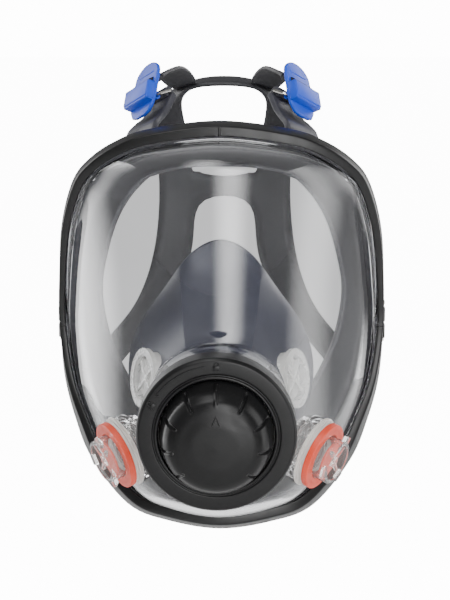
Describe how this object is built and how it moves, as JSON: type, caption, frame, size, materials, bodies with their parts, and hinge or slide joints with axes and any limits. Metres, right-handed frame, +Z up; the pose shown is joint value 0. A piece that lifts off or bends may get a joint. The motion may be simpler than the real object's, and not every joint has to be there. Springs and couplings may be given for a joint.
{
  "type": "full face respirator",
  "caption": "Full face respirator: panoramic clear lens in a two-part black frame, rubber face seal, nose cup, locking exhalation cover, two bayonet cartridge ports and a buckled head harness.",
  "frame": {"origin": "middle of the face opening, on the plane of the wearer's face", "axes": "+Y towards the back of the wearer's head, the mask's front faces -Y, +Z up, +X to the right as seen from the front"},
  "size_m": [0.1812, 0.2462, 0.2477],
  "materials": {
    "frame_black": "semi-gloss black nylon",
    "cover_black": "satin dark grey nylon",
    "lens_clear": "clear moulded polycarbonate, polished",
    "seal_rubber": "satin dark grey silicone rubber",
    "nose_cup_rubber": "satin blue-grey rubber",
    "harness_rubber": "matt dark grey rubber",
    "buckle_blue": "glossy blue acetal",
    "gasket_coral": "matt coral red silicone",
    "clear_plastic": "translucent off-white plastic",
    "valve_silicone": "translucent white silicone",
    "steel": "stainless steel"
  },
  "bodies": {
    "facepiece": {"frame_upper": "frame_black", "frame_lower": "frame_black", "frame_screw_left": "steel", "frame_screw_right": "steel", "frame_nut_left": "steel", "frame_nut_right": "steel", "lens": "lens_clear", "face_seal": "seal_rubber", "nose_cup": "nose_cup_rubber", "nose_valve_seat_left": "valve_silicone", "nose_valve_seat_right": "valve_silicone", "neck_gasket": "gasket_coral", "port_gasket_left": "gasket_coral", "port_gasket_right": "gasket_coral", "valve_housing": "cover_black", "valve_cover_ring": "cover_black", "exhalation_valve_seat": "valve_silicone", "port_sleeve_left": "clear_plastic", "port_sleeve_right": "clear_plastic", "port_nut_left": "clear_plastic", "port_nut_right": "clear_plastic", "head_harness": "harness_rubber", "buckle_wire_upper_left": "steel", "buckle_wire_upper_right": "steel", "buckle_wire_lower_left": "steel", "buckle_wire_lower_right": "steel"},
    "knob": {"lock_knob": "cover_black"},
    "exhalation_flap": {"exhalation_flap": "valve_silicone"},
    "port_flap_left": {"port_flap_left": "gasket_coral"},
    "nose_flap_left": {"nose_valve_flap_left": "valve_silicone"},
    "buckle_upper_left": {"buckle_upper_left": "buckle_blue", "strap_end_upper_left": "harness_rubber"},
    "buckle_lower_left": {"buckle_lower_left": "buckle_blue", "strap_end_lower_left": "harness_rubber"},
    "port_flap_right": {"port_flap_right": "gasket_coral"},
    "nose_flap_right": {"nose_valve_flap_right": "valve_silicone"},
    "buckle_upper_right": {"buckle_upper_right": "buckle_blue", "strap_end_upper_right": "harness_rubber"},
    "buckle_lower_right": {"buckle_lower_right": "buckle_blue", "strap_end_lower_right": "harness_rubber"}
  },
  "joints": [
    {"name": "knob_turn", "type": "hinge", "parent": "facepiece", "child": "knob", "pos_m": [0, -0.097, -0.0355], "axis": [0, -0.9969, -0.0785], "range_deg": [0, 65]},
    {"name": "buckle_upper_left_tilt", "type": "hinge", "parent": "facepiece", "child": "buckle_upper_left", "pos_m": [-0.0405, 0.046, 0.1175], "axis": [0.5789, -0.7399, 0.3426], "range_deg": [0, 12]},
    {"name": "buckle_upper_right_tilt", "type": "hinge", "parent": "facepiece", "child": "buckle_upper_right", "pos_m": [0.0405, 0.046, 0.1175], "axis": [0.5789, 0.7399, -0.3426], "range_deg": [0, 12]},
    {"name": "buckle_lower_left_tilt", "type": "hinge", "parent": "facepiece", "child": "buckle_lower_left", "pos_m": [-0.077, 0.06, -0.042], "axis": [-0.1149, -0.0831, 0.9899], "range_deg": [0, 12]},
    {"name": "buckle_lower_right_tilt", "type": "hinge", "parent": "facepiece", "child": "buckle_lower_right", "pos_m": [0.077, 0.06, -0.042], "axis": [-0.1149, 0.0831, -0.9899], "range_deg": [0, 12]},
    {"name": "exhalation_flap_lift", "type": "slide", "parent": "facepiece", "child": "exhalation_flap", "axis": [0, -0.9969, -0.0785], "range_m": [0, 0.0015], "stiffness_N_per_m": 20},
    {"name": "port_flap_left_lift", "type": "slide", "parent": "facepiece", "child": "port_flap_left", "axis": [0.8276, 0.4686, 0.3091], "range_m": [0, 0.0015], "stiffness_N_per_m": 20},
    {"name": "nose_flap_left_lift", "type": "slide", "parent": "facepiece", "child": "nose_flap_left", "axis": [0.8916, 0.4354, -0.1244], "range_m": [0, 0.0015], "stiffness_N_per_m": 20},
    {"name": "port_flap_right_lift", "type": "slide", "parent": "facepiece", "child": "port_flap_right", "axis": [-0.8276, 0.4686, 0.3091], "range_m": [0, 0.0015], "stiffness_N_per_m": 20},
    {"name": "nose_flap_right_lift", "type": "slide", "parent": "facepiece", "child": "nose_flap_right", "axis": [-0.8916, 0.4354, -0.1244], "range_m": [0, 0.0015], "stiffness_N_per_m": 20}
  ]
}
